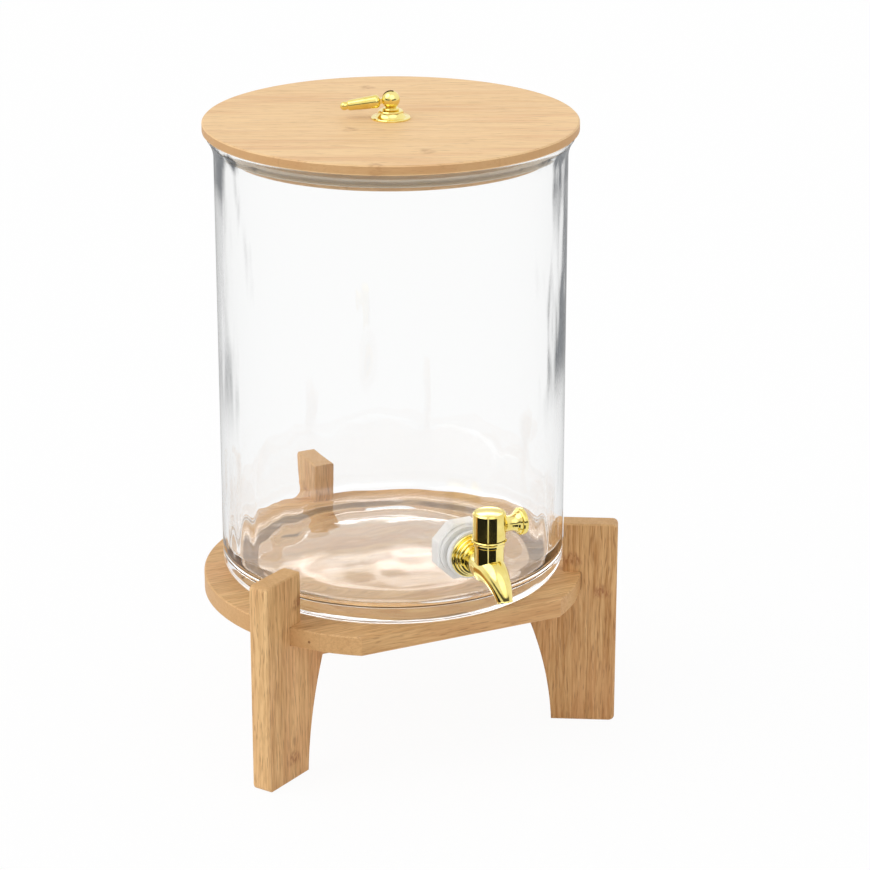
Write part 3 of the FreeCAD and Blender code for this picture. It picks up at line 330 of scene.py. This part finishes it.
def dressMetalAndPlastic():
    gold = goldMetal()
    for node in ("tap_body", "tap_handle", "tap_handle_button", "pull_rosette", "pull_post",
                 "pull_drop", "pull_pin"):
        paint(cadNodes[node], gold)
    steel = softSolid("steel", **steelLook)
    for node in ("tap_plug", "tap_snap_ring", "tap_handle_screw", "pull_washer", "pull_screw"):
        paint(cadNodes[node], steel)
    rubber = softSolid("siliconeRubber", **washerLook)
    for node in ("tap_outer_washer", "tap_inner_washer", "tap_plug_rings"):
        paint(cadNodes[node], rubber)
    paint(cadNodes["lid_seal"], softSolid("sealRubber", **sealLook))
    paint(cadNodes["tap_nut"], softSolid("nutPlastic", **nutLook))
    print("metal and plastic done")


# glass jar

jarShape = {
    "foot": jarLow[2] / mm, "height": (jarHigh[2] - jarLow[2]) / mm,
    "axisY": axisY / mm, "lipRadius": jarHigh[0] / mm,
    "flareOut": 4.0, "flareHeight": 12.5, "lipHeight": 3.2, "lipRound": 1.8,
    "wall": 4.0, "heelRound": 12.0, "innerRound": 10.0,
    "floor": 10.5, "domeInset": 38.0, "domeRise": 6.5, "domeBlend": 5.0,
    "puntInset": 25.0, "puntRise": 8.0, "puntBlend": 4.0,
    "segments": 240, "holeHeight": 44.5, "holeRadius": 8.3, "windowHalf": 5,
}


def arcPoints(centerR, centerZ, radius, startAngle, stopAngle, steps):
    points = []
    for step in range(steps + 1):
        angle = math.radians(startAngle + (stopAngle - startAngle) * step / steps)
        points.append((centerR + radius * math.cos(angle), centerZ + radius * math.sin(angle)))
    return points


def jarProfile(shape):
    # half section in mm: from the middle of the underside, out and up the wall, over the lip,
    # down inside to the middle of the floor
    outside = shape["lipRadius"] - shape["flareOut"]
    inside = outside - shape["wall"]
    flareRadius = (shape["flareHeight"] ** 2 + shape["flareOut"] ** 2) / 2 / shape["flareOut"]
    flareStart = shape["height"] - shape["lipHeight"] - shape["flareHeight"]
    flareTurn = math.degrees(math.asin(shape["flareHeight"] / flareRadius))
    flareAngles = [flareTurn * step / 12 for step in range(13)]
    cell = 2 * math.pi * outside / shape["segments"]
    window = [shape["holeHeight"] + cell * step
              for step in range(-shape["windowHalf"], shape["windowHalf"] + 1)]
    wallHeights = (68.0, 84.0, 108.0, 140.0, 172.0, 204.0, 236.0, 252.0)
    heel, inner, lip = shape["heelRound"], shape["innerRound"], shape["lipRound"]
    puntEdge = outside - shape["puntInset"]
    domeEdge = outside - shape["domeInset"]

    def dome(reach, edge, rise, blend):
        # height of a dome at this reach, with a soft turn where it meets the flat ring
        if reach > edge + blend:
            return 0.0
        arc = rise * (1 - (min(reach, edge - blend) / edge) ** 2)
        share = max(reach - (edge - blend), 0.0) / (2 * blend)
        slope = -2 * rise * (edge - blend) / edge ** 2
        return arc * (1 + 2 * share) * (1 - share) ** 2 + slope * 2 * blend * share * (1 - share) ** 2

    def domeReaches(edge, blend):
        flat = [(edge - blend) * step / 12 for step in range(12)]
        return flat + [edge - blend + 2 * blend * step / 10 for step in range(11)]

    points = [(reach, dome(reach, puntEdge, shape["puntRise"], shape["puntBlend"]))
              for reach in domeReaches(puntEdge, shape["puntBlend"])]
    points += arcPoints(outside - heel, heel, heel, -90, 0, 14)
    points += [(outside, height) for height in (18.0, 24.0)]
    outerWindow = len(points)
    points += [(outside, height) for height in window]
    points += [(outside, height) for height in wallHeights]
    points += [(outside + flareRadius - flareRadius * math.cos(math.radians(angle)),
                flareStart + flareRadius * math.sin(math.radians(angle))) for angle in flareAngles]
    points += arcPoints(outside + shape["flareOut"] - lip, shape["height"] - lip, lip, 0, 90, 8)
    points += arcPoints(inside + shape["flareOut"] + lip, shape["height"] - lip, lip, 90, 180, 8)
    points += [(inside + flareRadius - flareRadius * math.cos(math.radians(angle)),
                flareStart + flareRadius * math.sin(math.radians(angle))) for angle in reversed(flareAngles)]
    points += [(inside, height) for height in reversed(wallHeights)]
    innerWindow = len(points)
    points += [(inside, height) for height in reversed(window)]
    points += [(inside, height) for height in (26.0, 23.0)]
    points += arcPoints(inside - inner, shape["floor"] + inner, inner, 0, -90, 14)
    points += [(reach, shape["floor"] + dome(reach, domeEdge, shape["domeRise"], shape["domeBlend"]))
               for reach in reversed(domeReaches(domeEdge, shape["domeBlend"]))]
    return points, outerWindow, innerWindow, outside, inside


def glassJar():
    shape = jarShape
    points, outerWindow, innerWindow, outside, inside = jarProfile(shape)
    segments = shape["segments"]
    half = shape["windowHalf"]
    mesh = bmesh.new()

    def vertex(x, y, height):
        return mesh.verts.new((x * mm, (y + shape["axisY"]) * mm, (height + shape["foot"]) * mm))

    rings = []
    for radius, height in points:
        if radius < 1e-6:
            rings.append([vertex(0.0, 0.0, height)])
            continue
        ring = []
        for index in range(segments):
            angle = 2 * math.pi * index / segments
            ring.append(vertex(radius * math.sin(angle), -radius * math.cos(angle), height))
        rings.append(ring)

    def inWindow(row, index):
        column = index if index < segments / 2 else index - segments
        rows = [outerWindow <= row < outerWindow + 2 * half, innerWindow <= row < innerWindow + 2 * half]
        return any(rows) and -half <= column < half

    for row in range(len(rings) - 1):
        low, high = rings[row], rings[row + 1]
        for index in range(segments):
            after = (index + 1) % segments
            if len(low) == 1:
                mesh.faces.new((low[0], high[index], high[after]))
            elif len(high) == 1:
                mesh.faces.new((low[index], low[after], high[0]))
            elif not inWindow(row, index):
                mesh.faces.new((low[index], low[after], high[after], high[index]))

    def windowLoop(first, rising):
        # the grid's own vertices round the window, counter-clockwise as seen from outside
        rows = list(range(first, first + 2 * half + 1))
        if not rising:
            rows.reverse()
        columns = [column % segments for column in range(-half, half + 1)]
        loop = [rings[rows[0]][column] for column in columns]
        loop += [rings[row][columns[-1]] for row in rows[1:]]
        loop += [rings[rows[-1]][column] for column in reversed(columns[:-1])]
        loop += [rings[row][columns[0]] for row in reversed(rows[1:-1])]
        return loop

    def patch(loop, radius):
        # rings of quads from the window's edge in to the hole, all on the wall's surface
        steps = 4
        previous = loop
        for step in range(1, steps + 1):
            share = step / steps
            ring = []
            for corner in loop:
                x = corner.co.x / mm
                rise = corner.co.z / mm - shape["foot"] - shape["holeHeight"]
                reach = math.hypot(x, rise)
                scale = 1 + (shape["holeRadius"] / reach - 1) * share
                ring.append(vertex(x * scale, -math.sqrt(radius ** 2 - (x * scale) ** 2),
                                   shape["holeHeight"] + rise * scale))
            for index in range(len(loop)):
                after = (index + 1) % len(loop)
                mesh.faces.new((previous[index], previous[after], ring[after], ring[index]))
            previous = ring
        return previous

    outerHole = patch(windowLoop(outerWindow, True), outside)
    innerHole = patch(windowLoop(innerWindow, False), inside)
    for index in range(len(outerHole)):
        after = (index + 1) % len(outerHole)
        mesh.faces.new((outerHole[index], outerHole[after], innerHole[after], innerHole[index]))
    bmesh.ops.recalc_face_normals(mesh, faces=mesh.faces)
    data = bpy.data.meshes.new("glassJar")
    mesh.to_mesh(data)
    mesh.free()
    data.shade_smooth()
    data.set_sharp_from_angle(angle=math.radians(40))
    jar = bpy.data.objects.new("glassJar", data)
    bpy.context.scene.collection.objects.link(jar)
    paint(jar, clearGlass())
    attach(jar, "jar")
    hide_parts("glass_jar")
    print("jar done")


glassLook = {
    "clear": (0.997, 0.999, 0.998, 1.0),
    "passed": (0.965, 0.970, 0.968, 1.0),
    # edge: the near-black painted shade put into the wall where it is seen edge-on
    "edge": (0.028, 0.032, 0.038, 1.0),
    "edgeStart": 0.58, "edgeFull": 0.78,
    "edgeLow": 0.19, "edgeHigh": 0.25, "edgeLeast": 0.32, "neckLow": 0.325, "neckHigh": 0.355,
    "deepest": 4.5,
    "streakScale": 70.0, "streakSwing": 0.9, "patchScale": 9.0, "patchLow": 0.45, "patchHigh": 0.56,
    "waveSize": 34 * mm, "waveDepth": 3.2 * mm,
    "waveLow": 0.13, "waveHigh": 0.21, "waveAbove": 0.13,
    "waveFloor": 0.3, "floorLow": 0.117, "floorHigh": 0.125,
}


def clearGlass():
    look = glassLook
    material, tree, output = newMaterial("clearGlass")
    place = addNode(tree, "TexCoord").outputs["Object"]
    height = addNode(tree, "SeparateXYZ", {0: place}).outputs["Z"]
    path = addNode(tree, "LightPath")
    # the blown wall is a little wavy, most of all near its foot, and the floor less so
    tall = addNode(tree, "VectorMath", {0: place, 1: (1.0, 1.0, 0.4)}, operation="MULTIPLY").outputs[0]
    wave = addNode(tree, "TexNoise", {"Vector": tall, "Scale": 1 / look["waveSize"], "Detail": 1.0}).outputs[0]
    amount = fade(tree, height, look["waveLow"], look["waveHigh"], 1.0, look["waveAbove"])
    onFloor = fade(tree, height, look["floorLow"], look["floorHigh"], look["waveFloor"], 1.0)
    amount = calc(tree, "MULTIPLY", amount, onFloor)
    bump = addNode(tree, "Bump", {"Height": calc(tree, "MULTIPLY", wave, amount),
                                  "Strength": 1.0, "Distance": look["waveDepth"]})
    # seen edge-on the wall is thick glass; there its colour is painted near-black in uneven streaks, a painted
    # shade for the dark surroundings seen through it
    narrow = addNode(tree, "VectorMath", {0: place, 1: (1.0, 1.0, 0.16)}, operation="MULTIPLY").outputs[0]
    streak = addNode(tree, "TexNoise", {"Vector": narrow, "Scale": look["streakScale"],
                                        "Detail": 2.0}).outputs[0]
    facing = addNode(tree, "LayerWeight", {"Blend": 0.5}).outputs["Facing"]
    swing = calc(tree, "MULTIPLY", calc(tree, "SUBTRACT", streak, 0.5), look["streakSwing"])
    edge = fade(tree, calc(tree, "ADD", facing, swing), look["edgeStart"], look["edgeFull"])
    edge = calc(tree, "MULTIPLY", edge, fade(tree, height, look["edgeLow"], look["edgeHigh"]))
    patch = addNode(tree, "TexNoise", {"Vector": place, "Scale": look["patchScale"], "Detail": 1.0}).outputs[0]
    patched = fade(tree, patch, look["patchLow"], look["patchHigh"], look["edgeLeast"], 1.0)
    strong = calc(tree, "MAXIMUM", patched, fade(tree, height, look["neckLow"], look["neckHigh"]))
    edge = calc(tree, "MULTIPLY", edge, strong)
    first = calc(tree, "LESS_THAN", path.outputs["Transmission Depth"], 0.5)
    glass = addNode(tree, "BsdfPrincipled", {
        "Base Color": blendColors(tree, calc(tree, "MULTIPLY", edge, first), look["clear"], look["edge"]),
        "Roughness": 0.0,
        "IOR": 1.47,
        "Transmission Weight": 1.0,
        "Normal": bump.outputs[0]})
    seeThrough = addNode(tree, "BsdfTransparent", {"Color": look["passed"]})
    # shadows pass, and so does light that has bounced about in the glass for long
    tooDeep = calc(tree, "GREATER_THAN", path.outputs["Ray Depth"], look["deepest"])
    passing = calc(tree, "MAXIMUM", path.outputs["Is Shadow Ray"], tooDeep)
    mixed = addNode(tree, "MixShader", {0: passing, 1: glass.outputs[0], 2: seeThrough.outputs[0]})
    tree.links.new(mixed.outputs[0], output.inputs["Surface"])
    return material


# studio

cameraSetup = {
    "place": (-0.740, -1.555, 0.802),
    "azimuth": -26.2,
    "down": 19.65,
    "lens": 124.14,
}

lightSetup = {
    "worldLevel": 0.75,
    "keyStrength": 0.9, "keySoftness": 50.0, "keyAzimuth": -95.0, "keyHeight": 48.0,
    # the dark band: where the front is, how high the band reaches and how dark it is
    "frontAzimuth": -26.2, "frontLow": 0.1, "frontHigh": 0.5,
    "darkLow": 0.16, "darkHigh": 0.26, "darkShare": 0.9,
    "panelAzimuth": -5.0, "panelHeight": 42.0, "panelLow": 0.84, "panelHigh": 0.92, "panelLevel": 0.7,
    # the two strips behind: height, half width and how soft their edges are, and level
    "backAzimuth": 166.0, "stripHalf": 0.03,
    "lowStrip": 0.10, "lowFade": 0.09, "lowLevel": 2.2, "lowNarrow": 0.3, "lowWide": 0.8,
    "highStrip": 0.52, "highFade": 0.10, "highLevel": 3.0, "highNarrow": 0.62, "highWide": 0.80,
}

floorSetup = {
    "pale": (0.97, 0.97, 0.97, 1.0), "paler": (0.95, 0.95, 0.95, 1.0), "half": 9.0,
    "whiteShare": 0.94, "mirrorLevel": 0.4,
}


def makeCamera():
    setup = cameraSetup
    data = bpy.data.cameras.new("camera")
    data.lens = setup["lens"]
    data.sensor_width = 36.0
    data.clip_start = 0.05
    data.clip_end = 60.0
    camera = bpy.data.objects.new("camera", data)
    camera.location = setup["place"]
    camera.rotation_euler = (math.radians(90 - setup["down"]), 0.0, math.radians(setup["azimuth"]))
    bpy.context.scene.collection.objects.link(camera)
    bpy.context.scene.camera = camera
    print("camera done")


def seenDirectly(tree):
    # 1 for rays that look at the white backdrop, straight on or through glass, and the rays' own node
    path = addNode(tree, "LightPath")
    return calc(tree, "MAXIMUM", path.outputs["Is Camera Ray"], path.outputs["Is Transmission Ray"]), path


flagSetup = {
    "around": (0.0, -0.122), "height": 1 * mm,
    "near": 0.17, "far": 0.56,
    "sectors": ((-118.0, -39.0), (-31.0, 28.0)),
    "color": (0.02, 0.02, 0.02, 1.0), "steps": 24,
}


def makeFlag():
    # two black cards on the floor in front of the tap, seen only in soft reflections
    setup = flagSetup
    mesh = bmesh.new()
    steps = setup["steps"]
    for start, stop in setup["sectors"]:
        rows = []
        for step in range(steps + 1):
            angle = math.radians(start + (stop - start) * step / steps)
            rows.append([mesh.verts.new((setup["around"][0] + reach * math.sin(angle),
                                         setup["around"][1] - reach * math.cos(angle), setup["height"]))
                         for reach in (setup["near"], setup["far"])])
        for before, after in zip(rows, rows[1:]):
            mesh.faces.new((before[0], before[1], after[1], after[0]))
    data = bpy.data.meshes.new("blackCard")
    mesh.to_mesh(data)
    mesh.free()
    card = bpy.data.objects.new("blackCard", data)
    bpy.context.scene.collection.objects.link(card)
    material, tree, output = newMaterial("blackCard")
    black = addNode(tree, "BsdfDiffuse", {"Color": setup["color"]})
    gone = addNode(tree, "BsdfTransparent")
    sharp = addNode(tree, "LightPath").outputs["Is Singular Ray"]
    mixed = addNode(tree, "MixShader", {0: sharp, 1: black.outputs[0], 2: gone.outputs[0]})
    tree.links.new(mixed.outputs[0], output.inputs["Surface"])
    paint(card, material)
    for way in ("camera", "diffuse", "transmission", "shadow", "volume_scatter"):
        setattr(card, "visible_" + way, False)


def heading(azimuth, height=0.0):
    # the direction of a light or of a way to look: 0 is the tap's side, and height is above the floor
    turn, rise = math.radians(azimuth), math.radians(height)
    return math.sin(turn) * math.cos(rise), -math.cos(turn) * math.cos(rise), math.sin(rise)


def towards(tree, direction, way):
    node = addNode(tree, "VectorMath", {0: direction, 1: way}, operation="DOT_PRODUCT")
    return node.outputs["Value"]


def makeWorld():
    setup = lightSetup
    world = bpy.data.worlds.new("studio")
    bpy.context.scene.world = world
    world.use_nodes = True
    tree = world.node_tree
    tree.nodes.clear()
    output = tree.nodes.new("ShaderNodeOutputWorld")
    direction = addNode(tree, "TexCoord").outputs["Generated"]
    height = addNode(tree, "SeparateXYZ", {0: direction}).outputs["Z"]
    white, path = seenDirectly(tree)
    outside = calc(tree, "LESS_THAN", path.outputs["Transmission Depth"], 0.5)

    # the unlit part of the room, a low band in front of the object: metal shows it as thin dark lines
    toFront = towards(tree, direction, heading(setup["frontAzimuth"]))
    dark = calc(tree, "MULTIPLY", fade(tree, toFront, setup["frontLow"], setup["frontHigh"]),
                fade(tree, height, setup["darkLow"], setup["darkHigh"], 1.0, 0.0))
    dark = calc(tree, "MULTIPLY", dark, outside)
    room = calc(tree, "SUBTRACT", 1.0, calc(tree, "MULTIPLY", dark, setup["darkShare"]))

    # a soft white panel above the camera, for the metal
    toPanel = towards(tree, direction, heading(setup["panelAzimuth"], setup["panelHeight"]))
    panel = fade(tree, toPanel, setup["panelLow"], setup["panelHigh"], 0.0, setup["panelLevel"])
    room = calc(tree, "ADD", room, panel)
    glossy = path.outputs["Is Glossy Ray"]
    level = calc(tree, "MULTIPLY", calc(tree, "SUBTRACT", 1.0, glossy), setup["worldLevel"])
    level = calc(tree, "ADD", level, calc(tree, "MULTIPLY", glossy, room))
    strength = calc(tree, "MAXIMUM", white, level)

    # two soft white strips behind the object, one low and one high, which only the glass mirrors
    toBack = towards(tree, direction, heading(setup["backAzimuth"]))
    strips = []
    for strip in ("low", "high"):
        off = calc(tree, "ABSOLUTE", calc(tree, "SUBTRACT", height, setup[strip + "Strip"]))
        across = fade(tree, off, setup["stripHalf"], setup[strip + "Fade"], setup[strip + "Level"], 0.0)
        along = fade(tree, toBack, setup[strip + "Narrow"], setup[strip + "Wide"])
        strips.append(calc(tree, "MULTIPLY", across, along))
    inGlass = calc(tree, "MULTIPLY", path.outputs["Is Singular Ray"],
                   calc(tree, "GREATER_THAN", path.outputs["Glossy Depth"], 0.5))
    strength = calc(tree, "ADD", strength, calc(tree, "MULTIPLY", inGlass, calc(tree, "ADD", *strips)))
    sky = addNode(tree, "Background", {"Color": (1.0, 1.0, 1.0, 1.0), "Strength": strength})
    tree.links.new(sky.outputs[0], output.inputs["Surface"])


def makeKeyLight():
    setup = lightSetup
    sun = bpy.data.lights.new("keyLight", "SUN")
    sun.energy = setup["keyStrength"]
    sun.angle = math.radians(setup["keySoftness"])
    key = bpy.data.objects.new("keyLight", sun)
    key.rotation_euler = (math.radians(90 - setup["keyHeight"]), 0.0, math.radians(setup["keyAzimuth"]))
    bpy.context.scene.collection.objects.link(key)


def makeFloor():
    setup = floorSetup
    material, tree, output = newMaterial("paleFloor")
    place = addNode(tree, "TexCoord").outputs["Object"]
    grain = addNode(tree, "TexNoise", {"Vector": place, "Scale": 3.0, "Detail": 2.0}).outputs[0]
    matte = addNode(tree, "BsdfDiffuse", {"Color": blendColors(tree, grain, setup["pale"], setup["paler"])})
    glow = addNode(tree, "Emission", {"Color": (1.0, 1.0, 1.0, 1.0), "Strength": 1.0})
    dim = addNode(tree, "Emission", {"Color": (1.0, 1.0, 1.0, 1.0), "Strength": setup["mirrorLevel"]})
    white, path = seenDirectly(tree)
    white = calc(tree, "MAXIMUM", white, path.outputs["Is Glossy Ray"])
    # the outside of the glass mirrors a darker floor, as it does in a studio with dark sides
    onlyMirrored = calc(tree, "SUBTRACT", path.outputs["Is Glossy Ray"], path.outputs["Is Transmission Ray"],
                        clamp=True)
    mirrored = calc(tree, "MULTIPLY", path.outputs["Is Singular Ray"], onlyMirrored)
    outside = calc(tree, "LESS_THAN", path.outputs["Transmission Depth"], 0.5)
    mirrored = calc(tree, "MULTIPLY", mirrored, outside)
    lit = addNode(tree, "MixShader", {0: mirrored, 1: glow.outputs[0], 2: dim.outputs[0]})
    share = calc(tree, "MULTIPLY", white, setup["whiteShare"])
    mixed = addNode(tree, "MixShader", {0: share, 1: matte.outputs[0], 2: lit.outputs[0]})
    tree.links.new(mixed.outputs[0], output.inputs["Surface"])
    mesh = bmesh.new()
    bmesh.ops.create_grid(mesh, x_segments=2, y_segments=2, size=setup["half"])
    data = bpy.data.meshes.new("floor")
    mesh.to_mesh(data)
    mesh.free()
    floor = bpy.data.objects.new("floor", data)
    bpy.context.scene.collection.objects.link(floor)
    paint(floor, material)


def makeStudio():
    makeWorld()
    makeKeyLight()
    makeFloor()
    makeFlag()
    bpy.context.scene.view_settings.view_transform = "Standard"
    print("studio done")


makeCamera()
makeStudio()
dressBamboo()
dressMetalAndPlastic()
glassJar()
